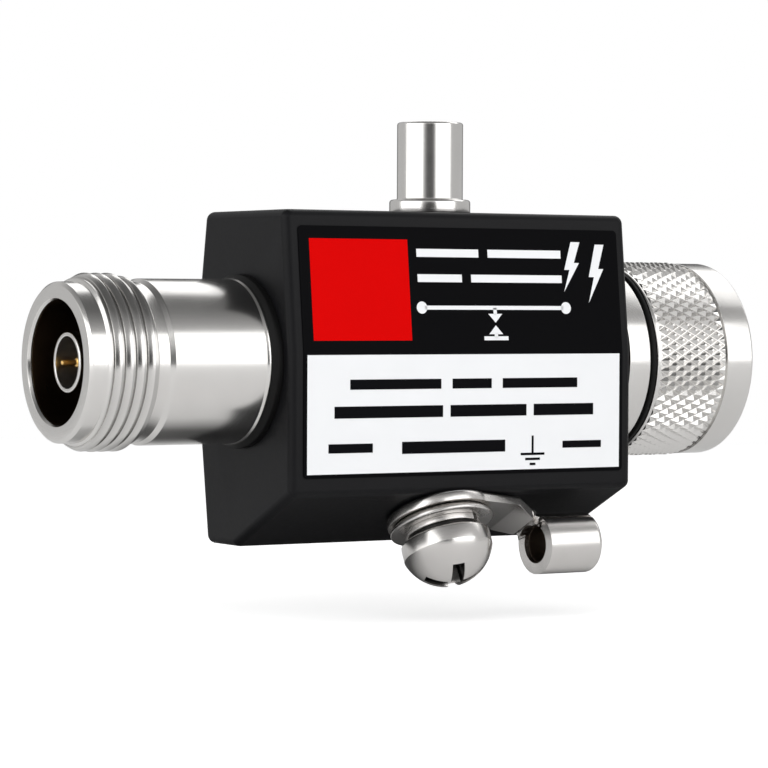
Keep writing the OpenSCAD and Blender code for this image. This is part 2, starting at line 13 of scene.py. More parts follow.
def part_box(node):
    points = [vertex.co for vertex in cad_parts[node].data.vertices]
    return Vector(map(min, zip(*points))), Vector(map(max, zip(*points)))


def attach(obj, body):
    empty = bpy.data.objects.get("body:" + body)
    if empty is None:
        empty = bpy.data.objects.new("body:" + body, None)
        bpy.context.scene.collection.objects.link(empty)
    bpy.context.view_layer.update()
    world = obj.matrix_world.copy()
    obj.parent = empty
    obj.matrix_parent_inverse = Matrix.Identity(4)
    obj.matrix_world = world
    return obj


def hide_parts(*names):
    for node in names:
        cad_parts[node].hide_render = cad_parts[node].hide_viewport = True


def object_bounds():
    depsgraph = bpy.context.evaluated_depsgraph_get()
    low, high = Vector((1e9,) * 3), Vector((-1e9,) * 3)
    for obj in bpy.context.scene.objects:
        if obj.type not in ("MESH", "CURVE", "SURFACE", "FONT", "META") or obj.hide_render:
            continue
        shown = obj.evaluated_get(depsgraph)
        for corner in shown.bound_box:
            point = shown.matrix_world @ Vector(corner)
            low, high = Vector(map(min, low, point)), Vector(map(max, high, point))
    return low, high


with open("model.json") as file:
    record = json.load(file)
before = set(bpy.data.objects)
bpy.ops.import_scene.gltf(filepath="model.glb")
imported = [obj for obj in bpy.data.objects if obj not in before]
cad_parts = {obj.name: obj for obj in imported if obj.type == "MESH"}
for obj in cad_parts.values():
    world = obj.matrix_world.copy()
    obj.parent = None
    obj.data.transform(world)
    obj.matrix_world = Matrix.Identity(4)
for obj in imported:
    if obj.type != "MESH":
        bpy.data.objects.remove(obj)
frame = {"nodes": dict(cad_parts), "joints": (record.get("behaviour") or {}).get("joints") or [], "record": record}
cad_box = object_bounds()
mm = 0.001

# %% [markdown]
# The photograph was taken with a long lens from the left of the label, almost level with it. A long
# lens keeps the far end nearly as large as the near end. Its place and turn were fitted to corners
# and round edges that can be measured in the picture.

# %% Camera
image_size = 768
focal_pixels = 3299
camera_place = Vector((-126.57, -258.56, 5.63)) * mm
camera_yaw, camera_pitch, camera_roll = radians(31.46), radians(-1.474), radians(0.266)

lens = bpy.data.cameras.new("photo_camera")
lens.sensor_width = 36
lens.lens = focal_pixels * lens.sensor_width / image_size
lens.clip_start = 0.01
camera = bpy.data.objects.new("photo_camera", lens)
camera.matrix_world = (
    Matrix.Translation(camera_place)
    @ Matrix.Rotation(-camera_yaw, 4, "Z")
    @ Matrix.Rotation(pi / 2 + camera_pitch, 4, "X")
    @ Matrix.Rotation(camera_roll, 4, "Z")
)
bpy.context.scene.collection.objects.link(camera)
bpy.context.scene.camera = camera
bpy.context.scene.view_settings.view_transform = "Standard"
print(f"lens {lens.lens:.1f} mm")

# %% [markdown]
# Node trees are easier to read as sums than as boxes and wires. This small class wraps one socket.
# Adding or multiplying two wires makes the Math node, and any other node comes from one method. A ramp
# rises from 0 at one value to 1 at another.

# %% Shader and geometry maths as Python
class Wire:
    def __init__(self, tree, socket=None):
        self.tree = tree
        self.socket = socket

    def node(self, kind, settings={}, sockets={}, out=0):
        made = self.tree.nodes.new(kind)
        for name, value in settings.items():
            setattr(made, name, value)
        for key, value in sockets.items():
            if isinstance(value, Wire):
                self.tree.links.new(value.socket, made.inputs[key])
            else:
                made.inputs[key].default_value = value
        return Wire(self.tree, made.outputs[out])

    def math(self, operation, *values):
        return self.node("ShaderNodeMath", {"operation": operation}, dict(enumerate(values)))

    def __add__(self, other):
        return self.math("ADD", self, other)

    def __sub__(self, other):
        return self.math("SUBTRACT", self, other)

    def __rsub__(self, other):
        return self.math("SUBTRACT", other, self)

    def __mul__(self, other):
        return self.math("MULTIPLY", self, other)

    def __truediv__(self, other):
        return self.math("DIVIDE", self, other)

    def __pow__(self, other):
        return self.math("POWER", self, other)

    __radd__ = __add__
    __rmul__ = __mul__

    def clamped(self, low=0.0, high=1.0):
        return self.math("MINIMUM", self.math("MAXIMUM", self, low), high)

    def ramp(self, zero, one):
        return ((self - zero) / (one - zero)).clamped()

    def xyz(self):
        split = self.node("ShaderNodeSeparateXYZ", {}, {0: self})
        outputs = split.socket.node.outputs
        return [Wire(self.tree, socket) for socket in outputs]


# %% [markdown]
# Each round piece has its own axis. A placement turns a piece that is built along X onto its axis:
# the coax line, the cap's upright axis, the ground screw's axis, square to the sloped face, or the axis
# of the lug's wire barrel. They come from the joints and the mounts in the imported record.

# %% Placements
joints = {joint["name"]: joint for joint in frame["joints"]}
mounts = {mount["name"]: mount for mount in frame["record"]["mounts"]}


def placement(point, along, side):
    along, side = Vector(along).normalized(), Vector(side).normalized()
    turn = Matrix((along, side, along.cross(side))).transposed()
    return Matrix.Translation(point) @ turn.to_4x4()


cap_x = joints["cap_turn"]["pos_m"][0]
on_line = Matrix.Identity(4)
on_cap = placement((cap_x, 0, 0), (0, 0, 1), (1, 0, 0))
on_screw = placement(joints["screw_turn"]["pos_m"], joints["screw_turn"]["axis"], (1, 0, 0))
on_wire = placement(mounts["ground_wire"]["pos_m"], mounts["ground_wire"]["axis"], (0, 1, 0))
print("cap at", round(cap_x / mm, 2), "mm")

# %% [markdown]
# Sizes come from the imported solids, in millimetres. One helper reads how far a solid reaches along the
# coax line, and another how far it reaches out from it.

# %% Measures
def span(node):
    low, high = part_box(node)
    return low.x / mm, high.x / mm


def outer_radius(node):
    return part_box(node)[1].y / mm


print("jack from", span("jack_shell")[0], "mm, nut to", span("coupling_nut")[1], "mm")

# %% [markdown]
# Real surfaces are never one flat value. Every finish starts from the same shader, keeps its fixed
# numbers on the shader's own sockets, and links only what changes over the surface.

# %% Finish builder
def finish(name, fixed, varying):
    material = bpy.data.materials.new(name)
    material.use_nodes = True
    tree = material.node_tree
    shader = tree.nodes["Principled BSDF"]
    for socket, value in fixed.items():
        shader.inputs[socket].default_value = value
    for socket, wire in varying(Wire(tree)).items():
        tree.links.new(wire.socket, shader.inputs[socket])
    return material


def object_place(tree):
    return tree.node("ShaderNodeTexCoord", out="Object")


def noise(tree, place, size_mm, detail=2.0):
    sockets = {"Vector": place, "Scale": 1 / (size_mm * mm), "Detail": detail}
    return tree.node("ShaderNodeTexNoise", {}, sockets)


def blend_colour(tree, factor, first, second):
    first, second = [c if isinstance(c, Wire) else (*c, 1) for c in (first, second)]
    sockets = {0: factor, 6: first, 7: second}
    return tree.node("ShaderNodeMix", {"data_type": "RGBA"}, sockets, out=2)


def bump(tree, height, depth_mm, strength=1.0):
    sockets = {"Height": height, "Distance": depth_mm * mm, "Strength": strength}
    return tree.node("ShaderNodeBump", {}, sockets)


# %% [markdown]
# Turned and plated metal carries the lathe's fine rings. On a barrel they run round the axis, and on
# an end face they are circles, so the pattern depends on the place along the axis plus the distance
# from it. A Mapping node brings each piece's own axis onto X first. Soft smudges break up the gloss, and
# a metal can be given a rule for where painted shade darkens it, from those same two measures.

# %% Turned metal
def turned_metal(name, colour, rough, place, ring_mm=0.09, ring_depth=0.0006, painted_shade=None):
    dark = [0.9 * c for c in colour]
    # The darkest tone that painted shade gives this metal.
    shaded_tone = [0.22 * c for c in colour]

    def varying(tree):
        turn = {"Vector": object_place(tree), "Location": place.translation, "Rotation": place.to_euler()}
        own = tree.node("ShaderNodeMapping", {"vector_type": "TEXTURE"}, turn)
        x, y, z = own.xyz()
        radius = (y * y + z * z) ** 0.5
        sockets = {"W": (x + radius) / (ring_mm * mm), "Scale": 1.0, "Detail": 3.0}
        rings = tree.node("ShaderNodeTexNoise", {"noise_dimensions": "1D"}, sockets)
        smudge = noise(tree, own, 3.5)
        tone = blend_colour(tree, smudge, colour, dark)
        # Painted shade: where the mask is high, the tone is darkened towards a fifth of the colour.
        if painted_shade:
            tone = blend_colour(tree, painted_shade(x / mm, radius / mm), tone, shaded_tone)
        return {
            "Base Color": tone,
            "Roughness": rough + 0.10 * (smudge - 0.5) + 0.06 * (rings - 0.5),
            "Normal": bump(tree, rings, ring_depth),
        }

    return finish(name, {"Metallic": 1.0}, varying)


nickel_tone = (0.80, 0.785, 0.765)
line_nickel = turned_metal("line_nickel", nickel_tone, 0.19, on_line)
cap_nickel = turned_metal("cap_nickel", nickel_tone, 0.18, on_cap)
# The next two are painted shade: dark brown linings for the inside of the jack's mouth and of the lug's barrel.
bore_painted_shade = turned_metal("bore_painted_shade", (0.13, 0.085, 0.05), 0.3, on_line, 0.2)
lug_bore_painted_shade = turned_metal("lug_bore_painted_shade", (0.11, 0.085, 0.065), 0.4, on_wire, 0.2)
gold_plate = turned_metal("gold_plate", (0.86, 0.56, 0.20), 0.22, on_line)
plain_brass = turned_metal("plain_brass", (0.75, 0.58, 0.28), 0.3, on_line)
washer_steel = turned_metal("washer_steel", (0.74, 0.72, 0.70), 0.27, on_screw, 0.2)
# Near-black steel as painted shade, for the spring washer's neck under the screw head.
painted_shade_steel = turned_metal("painted_shade_steel", (0.035, 0.034, 0.033), 0.4, on_screw, 0.2)
spring_steel = turned_metal("spring_steel", (0.55, 0.55, 0.55), 0.33, on_cap, 0.2)
print("metals made")

# %% [markdown]
# All other surfaces share one recipe: two close tones in a soft cloud, and a fine grain that changes the
# gloss and stands up a little. A stretch draws the grain out into lines.

# %% Coat
def coat(name, fixed, tones, rough, grain, cloud, stretch=None):
    grain_mm, grain_detail, grain_share, grain_depth, grain_strength = grain
    cloud_mm, cloud_share = cloud

    def varying(tree):
        place = grain_place = object_place(tree)
        if stretch:
            grain_place = tree.node("ShaderNodeMapping", {}, {"Vector": place, "Scale": stretch})
        fine = noise(tree, grain_place, grain_mm, grain_detail)
        soft = noise(tree, place, cloud_mm)
        return {
            "Base Color": blend_colour(tree, soft, *tones),
            "Roughness": rough + cloud_share * (soft - 0.5) + grain_share * (fine - 0.5),
            "Normal": bump(tree, fine, grain_depth, grain_strength),
        }

    return finish(name, fixed, varying)


# %% [markdown]
# The lug is punched and rolled from tinned sheet, so it has no lathe rings. Tin is a little softer and
# greyer than nickel, with fine rolling lines along the sheet. The block is die-cast and painted satin
# black, with a very fine orange-peel surface, which only shows where a light grazes it.

# %% Tinned sheet and satin paint
tin_tones = [(0.78, 0.76, 0.74), (0.68, 0.66, 0.64)]
tin_grain, tin_cloud, tin_lines = (0.12, 3.0, 0.05, 0.0008, 1.0), (2.2, 0.12), (0.06, 1.0, 1.0)
lug_tin = coat("tinned_sheet", {"Metallic": 1.0}, tin_tones, 0.24, tin_grain, tin_cloud, tin_lines)
paint_tones = [(0.0055, 0.0055, 0.0062), (0.0075, 0.0075, 0.0085)]
paint_grain, paint_cloud = (0.35, 3.0, 0.10, 0.004, 0.6), (6.0, 0.08)
paint_gloss = {"Specular IOR Level": 0.12}
black_paint = coat("satin_paint", paint_gloss, paint_tones, 0.40, paint_grain, paint_cloud)
print("made", lug_tin.name, "and", black_paint.name)

# %% [markdown]
# The label is printed film. The inks lie on it as thin even coats with a faint grain, and differ only
# in colour and gloss.

# %% Printed film and inks
def print_ink(name, colour, rough):
    tones = [colour, [0.95 * c for c in colour]]
    grain, cloud = (0.18, 2.0, 0.08, 0.0012, 0.5), (5.0, 0.0)
    return coat(name, {"Specular IOR Level": 0.02}, tones, rough, grain, cloud)


film_black = print_ink("film_black", (0.003, 0.003, 0.0036), 0.38)
ink_white = print_ink("ink_white", (0.86, 0.87, 0.885), 0.45)
ink_red = print_ink("ink_red", (0.66, 0.0005, 0.0005), 0.42)
ink_black = print_ink("ink_black", (0.004, 0.004, 0.005), 0.45)
print("film and inks made")

# %% [markdown]
# Rubber, silicone and the insulators are soft-looking solids: a mottled colour, a rough skin and a
# shallow moulded grain.

# %% Moulded materials
def moulded(name, colour, rough, grain_mm, grain_depth):
    tones = [colour, [0.8 * c for c in colour]]
    grain, cloud = (grain_mm, 4.0, 0.12, grain_depth, 0.6), (3.0, 0.0)
    return coat(name, {"Specular IOR Level": 0.15}, tones, rough, grain, cloud)


black_rubber = moulded("black_rubber", (0.005, 0.005, 0.005), 0.5, 0.2, 0.006)
red_silicone = moulded("red_silicone", (0.45, 0.05, 0.03), 0.45, 0.25, 0.005)
dark_insulator = moulded("dark_insulator", (0.02, 0.013, 0.008), 0.45, 0.15, 0.003)
white_insulator = moulded("white_insulator", (0.82, 0.82, 0.79), 0.4, 0.3, 0.003)
tube_ceramic = moulded("tube_ceramic", (0.82, 0.79, 0.71), 0.5, 0.1, 0.003)
print(len(bpy.data.materials), "materials so far")

# %% [markdown]
# A modifier or a node tree is a recipe, and the export wants its result. Baking replaces the mesh by
# the evaluated one and takes the modifier away.

# %% Helpers for pieces
def new_piece(name, mesh):
    piece = bpy.data.objects.new(name, mesh)
    bpy.context.scene.collection.objects.link(piece)
    return piece


def piece_from(work, name):
    bmesh.ops.recalc_face_normals(work, faces=work.faces)
    mesh = bpy.data.meshes.new(name)
    work.to_mesh(mesh)
    work.free()
    return new_piece(name, mesh)


def bake(piece):
    graph = bpy.context.evaluated_depsgraph_get()
    made = bpy.data.meshes.new_from_object(piece.evaluated_get(graph))
    made.name = piece.name
    piece.modifiers.clear()
    piece.data = made
    return piece


def soften(piece, sharp_angle=40):
    piece.data.shade_smooth()
    piece.data.set_sharp_from_angle(angle=radians(sharp_angle))
    weighted = piece.modifiers.new("even_shading", "WEIGHTED_NORMAL")
    weighted.keep_sharp = True
    return bake(piece)


def settle(piece, body, slot, material, *nodes):
    piece.data.materials.clear()
    piece.data.materials.append(material)
    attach(piece, body)
    if nodes:
        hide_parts(*nodes)
    print(piece.name, len(piece.data.polygons), "faces on", body)


# %% [markdown]
# Most of this part was made on a lathe, and so are its pieces here. An outline is a list of corners:
# the place along the axis, the radius and the rounding of the corner, in millimetres. Small roundings
# matter more than any texture, because a bright edge line is what makes metal look solid.

# %% Lathe
def rounded(corners, steps=4):
    points = []
    for i, (x, r, rounding) in enumerate(corners):
        here = Vector((x, r))
        if rounding == 0:
            points.append(here)
            continue
        before = (Vector(corners[i - 1][:2]) - here).normalized()
        after = (Vector(corners[(i + 1) % len(corners)][:2]) - here).normalized()
        half = before.angle(after) / 2
        centre = here + (before + after).normalized() * rounding / sin(half)
        first = here + before * rounding / tan(half) - centre
        last = here + after * rounding / tan(half) - centre
        points += [centre + first.slerp(last, k / steps).normalized() * rounding for k in range(steps + 1)]
    return points


def skin(work, rings):
    for ring, after in zip(rings, rings[1:]):
        count = max(len(ring), len(after))
        for k in range(count):
            n = (k + 1) % count
            loop = [ring[k % len(ring)], ring[n % len(ring)], after[n % len(after)], after[k % len(after)]]
            loop = list(dict.fromkeys(loop))
            if len(loop) > 2:
                work.faces.new(loop)


def lathe(name, corners, segments=160):
    work = bmesh.new()
    rings = []
    for x, r in rounded(corners):
        spokes = segments if r > 0 else 1
        turns = [2 * pi * k / segments for k in range(spokes)]
        rings.append([work.verts.new((x * mm, r * mm * cos(a), r * mm * sin(a))) for a in turns])
    skin(work, rings + rings[:1])
    return piece_from(work, name)


def ring_corners(x0, x1, inner, outer, roundings):
    spots = [(x0, inner), (x0, outer), (x1, outer), (x1, inner)]
    return [(*spot, rounding) for spot, rounding in zip(spots, roundings)]


def turned_piece(name, corners, place, body, slot, material, *nodes):
    piece = lathe(name, corners)
    piece.data.transform(place)
    settle(soften(piece), body, slot, material, *nodes)


def line_piece(name, corners, slot, material, node):
    turned_piece(name, corners, on_line, "body", slot, material, node)


# %% [markdown]
# A thread follows a rule, so Geometry Nodes roll it: a ridge with slanted flanks and a narrow crest is
# swept along a spiral, one pitch to a turn, and thins out at both ends. Turned over, the same ridge
# points inwards and makes an inner thread. It stands on the plain band that the lathe leaves.

# %% Thread tree
def open_tree(name, inputs):
    tree = bpy.data.node_groups.new(name, "GeometryNodeTree")
    tree.interface.new_socket("Geometry", in_out="OUTPUT", socket_type="NodeSocketGeometry")
    for label, kind in inputs.items():
        tree.interface.new_socket(label, in_out="INPUT", socket_type="NodeSocket" + kind)
    start = tree.nodes.new("NodeGroupInput")
    return tree, {label: Wire(tree, start.outputs[label]) for label in inputs}


def close_tree(tree, geometry, material):
    whole = geometry.node("GeometryNodeRealizeInstances", {}, {"Geometry": geometry})
    painted = whole.node("GeometryNodeSetMaterial", {}, {"Geometry": whole, "Material": material})
    end = tree.nodes.new("NodeGroupOutput")
    tree.links.new(painted.socket, end.inputs["Geometry"])


def run_tree(piece, tree, values):
    modifier = piece.modifiers.new(tree.name, "NODES")
    modifier.node_group = tree
    for item in tree.interface.items_tree:
        if item.in_out == "INPUT" and item.name in values:
            modifier[item.identifier] = values[item.name]
    return bake(piece)


def thread_tree():
    names = ["Radius", "Length", "Pitch", "Height", "Root width", "Crest width", "Edge", "Side"]
    inputs = {"Geometry": "Geometry", "Material": "Material"} | {name: "Float" for name in names}
    tree, given = open_tree("roll_thread", inputs)
    turns = given["Length"] / given["Pitch"]
    sockets = {"Resolution": 96, "Rotations": turns, "Height": given["Length"]}
    sockets |= {"Start Radius": given["Radius"], "End Radius": given["Radius"]}
    spiral = turns.node("GeometryNodeCurveSpiral", {}, sockets)
    spiral = turns.node("GeometryNodeSetCurveNormal", {"mode": "Z_UP"}, {"Curve": spiral})
    sunk = 0.06 * mm
    tall = given["Height"] + sunk
    sockets = {"Bottom Width": given["Root width"], "Top Width": given["Crest width"]}
    sockets |= {"Height": tall, "Offset": 0.0}
    ridge = turns.node("GeometryNodeCurvePrimitiveQuadrilateral", {"mode": "TRAPEZOID"}, sockets)
    sockets = {"Curve": ridge, "Radius": given["Edge"], "Count": 2, "Limit Radius": True}
    ridge = turns.node("GeometryNodeFilletCurve", {"mode": "POLY"}, sockets)
    shift = turns.node("ShaderNodeCombineXYZ", {}, {"Y": given["Side"] * (tall / 2 - sunk)})
    over = turns.node("ShaderNodeCombineXYZ", {}, {"Z": (1 - given["Side"]) * (pi / 2)})
    over = turns.node("FunctionNodeEulerToRotation", {}, {0: over})
    sockets = {"Geometry": ridge, "Translation": shift, "Rotation": over}
    ridge = turns.node("GeometryNodeTransform", {}, sockets)
    share = turns.node("GeometryNodeSplineParameter", out="Factor")
    from_end = turns.math("MINIMUM", share, 1 - share) * turns
    thin = (from_end / 0.3).clamped(0.05, 1)
    sockets = {"Curve": spiral, "Profile Curve": ridge, "Scale": thin, "Fill Caps": True}
    close_tree(tree, turns.node("GeometryNodeCurveToMesh", {}, sockets), given["Material"])
    return tree


roll_thread = thread_tree()
spiral_to_axis = Matrix(((0, 0, 1, 0), (1, 0, 0, 0), (0, 1, 0, 0), (0, 0, 0, 1)))


def thread_piece(name, start, shape, inward, place, body, slot, material, *nodes):
    piece = new_piece(name, bpy.data.meshes.new(name))
    values = {label: value * mm for label, value in shape.items()}
    run_tree(piece, roll_thread, values | {"Side": -1.0 if inward else 1.0, "Material": material})
    piece.data.transform(place @ Matrix.Translation((start * mm, 0, 0)) @ spiral_to_axis)
    settle(soften(piece, 30), body, slot, material, *nodes)


# %% [markdown]
# The jack is one turned piece: a lead that guides the nut, the coupling thread, a relief and a plain
# barrel that carries the gasket. Its pitch is that of the standard thread, 24 turns to the inch.

# %% Jack
mouth_x, shank_end = span("jack_shell")
barrel_end, gasket_end = span("jack_gasket")
crest_r = mounts["jack_thread"]["dims"]["r_mm"]
thread_len = mounts["jack_thread"]["dims"]["length_mm"]
coupling_pitch = 25.4 / 24
tooth_h = 0.55
root_r = crest_r - tooth_h
lead_r, mouth_r, seat_x = crest_r - 0.9, 5.45, mouth_x + 9.3
barrel_r, shank_r, line_r = 7.35, 6.0, 4.6
relief_end = thread_len + 1.2
lead_chamfer = 0.28
lip_r = barrel_r + 0.1
wall_x, wall_r = mouth_x + 0.4, mouth_r + 0.1
jack_outline = [
    (wall_x, wall_r, 0),
    (wall_x, mouth_r, 0),
    (mouth_x + 0.25, mouth_r, 0.04),
    (mouth_x, mouth_r + 0.16, 0.04),
    (mouth_x, lead_r - lead_chamfer, 0.04),
    (mouth_x + lead_chamfer, lead_r, 0.05),
    (-0.12, lead_r, 0.04),
    (0.1, root_r, 0),
    (thread_len - 0.1, root_r, 0),
    (thread_len + 0.15, lead_r, 0.04),
    (relief_end, lead_r, 0.05),
    (relief_end + 0.4, barrel_r, 0.1),
    (barrel_end - 0.42, barrel_r, 0.1),
    (barrel_end - 0.22, lip_r, 0.08),
    (barrel_end, lip_r, 0.1),
    (barrel_end, shank_r, 0),
    (shank_end, shank_r, 0),
    (shank_end, line_r, 0),
    (seat_x, line_r, 0),
    (seat_x, wall_r, 0),
]
print("jack outline has", len(jack_outline), "corners")

# %% [markdown]
# The valleys of the thread are painted darker, as painted shade, which parts its turns from each other.

# %% Jack body and thread
# Painted shade in the thread's valleys: darker from near the crest down to the root, inside the thread.
def valley_painted_shade(x, radius):
    clean, fade, most = 0.1, 0.1, 0.4
    in_thread = x.ramp(0, fade) * x.ramp(thread_len, thread_len - fade)
    return most * radius.ramp(crest_r - clean, root_r) * in_thread


jack_nickel = turned_metal("jack_nickel", nickel_tone, 0.19, on_line, painted_shade=valley_painted_shade)
jack_home = (on_line, "body", "nickel", jack_nickel, "jack_shell")
turned_piece("jack_body", jack_outline, *jack_home)
coupling_ridge = {
    "Radius": root_r,
    "Length": thread_len - 0.5,
    "Pitch": coupling_pitch,
    "Height": tooth_h,
    "Root width": 1.0,
    "Crest width": 0.36,
    "Edge": 0.09,
}
thread_piece("jack_thread", 0.25, coupling_ridge, False, *jack_home)

# %% [markdown]
# Inside the jack the bore wall is a piece of its own, painted dark brown as painted shade. A thin
# sleeve stands in it on a dark insulator, with a gold pin in its middle. The pin has a fine tip on a
# rounded collar.

# %% Jack inside and gasket
bore_outline = ring_corners(wall_x, seat_x, mouth_r, wall_r, (0.03, 0, 0, 0.3))
line_piece("jack_bore_wall", bore_outline, "nickel", bore_painted_shade, "jack_shell")

sleeve_x0, sleeve_x1 = span("jack_sleeve")
sleeve_r = outer_radius("jack_sleeve")
sleeve_bore = sleeve_r - 0.4
sleeve_outline = ring_corners(sleeve_x0, sleeve_x1, sleeve_bore, sleeve_r, (0.1, 0.15, 0, 0))
line_piece("jack_contact_sleeve", sleeve_outline, "nickel", line_nickel, "jack_sleeve")

insulator_x0, insulator_x1 = span("jack_insulator")
pin_r = 0.45
insulator_outline = [
    (insulator_x0, pin_r, 0.05),
    (insulator_x0, sleeve_bore, 0.1),
    (seat_x, sleeve_bore, 0),
    (seat_x, line_r, 0.1),
    (insulator_x1, line_r, 0),
    (insulator_x1, pin_r, 0),
]
line_piece("jack_insulator_nose", insulator_outline, "dark_insulator", dark_insulator, "jack_insulator")

pin_x0, pin_x1 = span("jack_pin")
tip_r, collar_x = 0.225, pin_x0 + 1.4
pin_outline = [
    (pin_x0, 0, 0),
    (pin_x0, tip_r, 0.16),
    (collar_x, tip_r, 0.05),
    (collar_x, pin_r, 0.2),
    (pin_x1, pin_r, 0.1),
    (pin_x1, 0, 0),
]
line_piece("jack_gold_pin", pin_outline, "gold", gold_plate, "jack_pin")

gasket_r = outer_radius("jack_gasket")
gasket_outline = [
    (barrel_end, shank_r, 0),
    (barrel_end, lip_r - 0.05, 0.05),
    (barrel_end + 0.4, gasket_r, 0.2),
    (gasket_end, gasket_r, 0.06),
    (gasket_end, shank_r, 0),
]
line_piece("jack_rubber_gasket", gasket_outline, "black_rubber", black_rubber, "jack_gasket")

# %% [markdown]
# The block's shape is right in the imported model, but its mesh is loose triangles. A copy is merged, its
# triangles become whole faces again, and shading weighted by area keeps the flat faces flat.

# %% Housing
def merged_copy(node, name):
    piece = new_piece(name, frame["nodes"][node].data.copy())
    work = bmesh.new()
    work.from_mesh(piece.data)
    bmesh.ops.remove_doubles(work, verts=work.verts, dist=0.002 * mm)
    bmesh.ops.dissolve_limit(work, angle_limit=radians(0.6), verts=work.verts, edges=work.edges)
    work.to_mesh(piece.data)
    work.free()
    return piece


block = soften(merged_copy("housing", "painted_block"))
settle(block, "body", "black_paint", black_paint, "housing")

# %% [markdown]
# The label wraps over the crease of the front. Every printed mark is a flat outline with a little
# thickness, laid on the upper or the lower leaf. Marks are given in millimetres from the block's left
# face and from the crease, and the upper leaf leans back with the block.

# %% Label film
block_x0, block_x1 = span("housing")
front_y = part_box("housing")[0].y / mm
crease_z = 0.8
top_set, lean_height = 1.35, 12.7
lean_angle = Vector((lean_height, top_set)).angle(Vector((1, 0)))
lean = Matrix.Rotation(-lean_angle, 4, "X")
crease = Matrix.Translation(Vector((block_x0, front_y, crease_z)) * mm)


def on_leaf(x, up, out):
    local = Vector((x, -out, up)) * mm
    return crease @ (lean @ local if up > 0 else local)


def arc(cx, cy, r, first=0, count=7):
    turns = [first + k * pi / 12 for k in range(count)]
    return [(cx + r * cos(a), cy + r * sin(a)) for a in turns]


def add_prism(work, low_points, high_points):
    base = [work.verts.new(point) for point in low_points]
    face = [work.verts.new(point) for point in high_points]
    work.faces.new(face)
    work.faces.new(base[::-1])
    skin(work, [base, face])


def marks_piece(name, outlines, low, high, material):
    work = bmesh.new()
    for outline in outlines:
        add_prism(work, *[[on_leaf(x, up, out) for x, up in outline] for out in (low, high)])
    settle(piece_from(work, name), "body", "label_film", material, "label")


def bar(x0, x1, up0, up1):
    return [(x0, up0), (x1, up0), (x1, up1), (x0, up1)]


label_x0, label_x1 = [x - block_x0 for x in span("label")]
label_down, label_top = [corner.z / mm - crease_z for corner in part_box("label")]
label_up = label_top / cos(lean_angle)
film_t, corner_r = 0.1, 0.4
upper_film = [
    (label_x0, 0),
    (label_x1, 0),
    *arc(label_x1 - corner_r, label_up - corner_r, corner_r),
    *arc(label_x0 + corner_r, label_up - corner_r, corner_r, pi / 2),
]
lower_film = [
    (label_x1, 0),
    (label_x0, 0),
    *arc(label_x0 + corner_r, label_down + corner_r, corner_r, pi),
    *arc(label_x1 - corner_r, label_down + corner_r, corner_r, 1.5 * pi),
]
marks_piece("label_black_film", [upper_film, lower_film], 0, film_t, film_black)

# %% [markdown]
# The colour fields come next: a white panel below the crease and a plain red field above it, both
# left bare of any name.

# %% Label fields
panel_margin, ink_t = 0.35, 0.02
panel = bar(label_x0 + panel_margin, label_x1 - panel_margin, label_down + panel_margin, -0.1)
marks_piece("label_white_panel", [panel], film_t, film_t + ink_t, ink_white)
red_field = bar(2.25, 12.4, 1.15, 10.2)
marks_piece("label_red_field", [red_field], film_t, film_t + ink_t, ink_red)

# %% [markdown]
# Where a label has words, this one has plain bars in their place: each row keeps the rhythm of its
# words, and none of their letters. A wiring sign for a line with a spark gap to earth stands in the
# large space, and two jagged sparks stand in the corner.

# %% Shapes of the marks
def word_bars(words, up0, up1):
    middle, half = (up0 + up1) / 2, (up1 - up0) * 0.27
    return [bar(x0, x1, middle - half, middle + half) for x0, x1 in words]


def spark(x, up, width, height):
    shape = [(0.55, 1), (1, 1), (0.66, 0.58), (0.92, 0.58), (0.1, 0), (0.42, 0.44), (0.16, 0.44)]
    return [(x + width * a, up + height * b) for a, b in shape]


def earth_sign(x, up, width, stroke):
    stem = bar(x - stroke / 2, x + stroke / 2, up, up + width * 0.6)
    rungs = []
    for k, share in enumerate((1.0, 0.62, 0.24)):
        level = up - k * 2.1 * stroke
        rungs.append(bar(x - width * share / 2, x + width * share / 2, level - stroke, level))
    return [stem] + rungs


# %% [markdown]
# The white marks go on the black film, and the black ones on the white panel.

# %% White marks
print_low = film_t + ink_t
white_words = word_bars([(13.3, 19.9), (20.9, 28.9)], 8.35, 9.7)
white_words += word_bars([(13.3, 18.0), (19.0, 28.9)], 6.1, 7.4)
line_up, stroke, branch_x, dot_r = 4.1, 0.36, 21.4, 0.55
white_signs = [
    bar(13.9, 28.9, line_up - stroke / 2, line_up + stroke / 2),
    arc(13.6, line_up, dot_r, count=24),
    arc(29.2, line_up, dot_r, count=24),
    bar(branch_x - stroke / 2, branch_x + stroke / 2, 3.5, line_up),
    [(branch_x - 0.75, 3.55), (branch_x, 2.75), (branch_x + 0.75, 3.55)],
    [(branch_x - 0.75, 1.7), (branch_x + 0.75, 1.7), (branch_x, 2.5)],
    bar(branch_x - 1.3, branch_x + 1.3, 1.15, 1.15 + stroke),
    bar(branch_x - stroke / 2, branch_x + stroke / 2, 1.3, 1.8),
    spark(28.9, 5.6, 2.2, 4.6),
    spark(31.6, 4.6, 2.2, 5.4),
]
marks_piece("label_white_marks", white_words + white_signs, film_t, print_low, ink_white)

# %% Black marks
black_words = word_bars([(5.9, 15.4), (16.6, 20.8), (22.0, 30.2)], -3.55, -1.9)
black_words += word_bars([(4.3, 15.6), (16.4, 24.6), (25.4, 32.0)], -6.15, -4.2)
black_words += word_bars([(3.7, 8.25)], -9.1, -7.6) + word_bars([(28.6, 32.9)], -9.0, -7.8)
black_words += word_bars([(11.3, 22.3)], -9.4, -7.4)
black_signs = earth_sign(25.3, -9.1, 2.6, 0.22)
marks_piece("label_black_marks", black_words + black_signs, print_low, print_low + ink_t, ink_black)

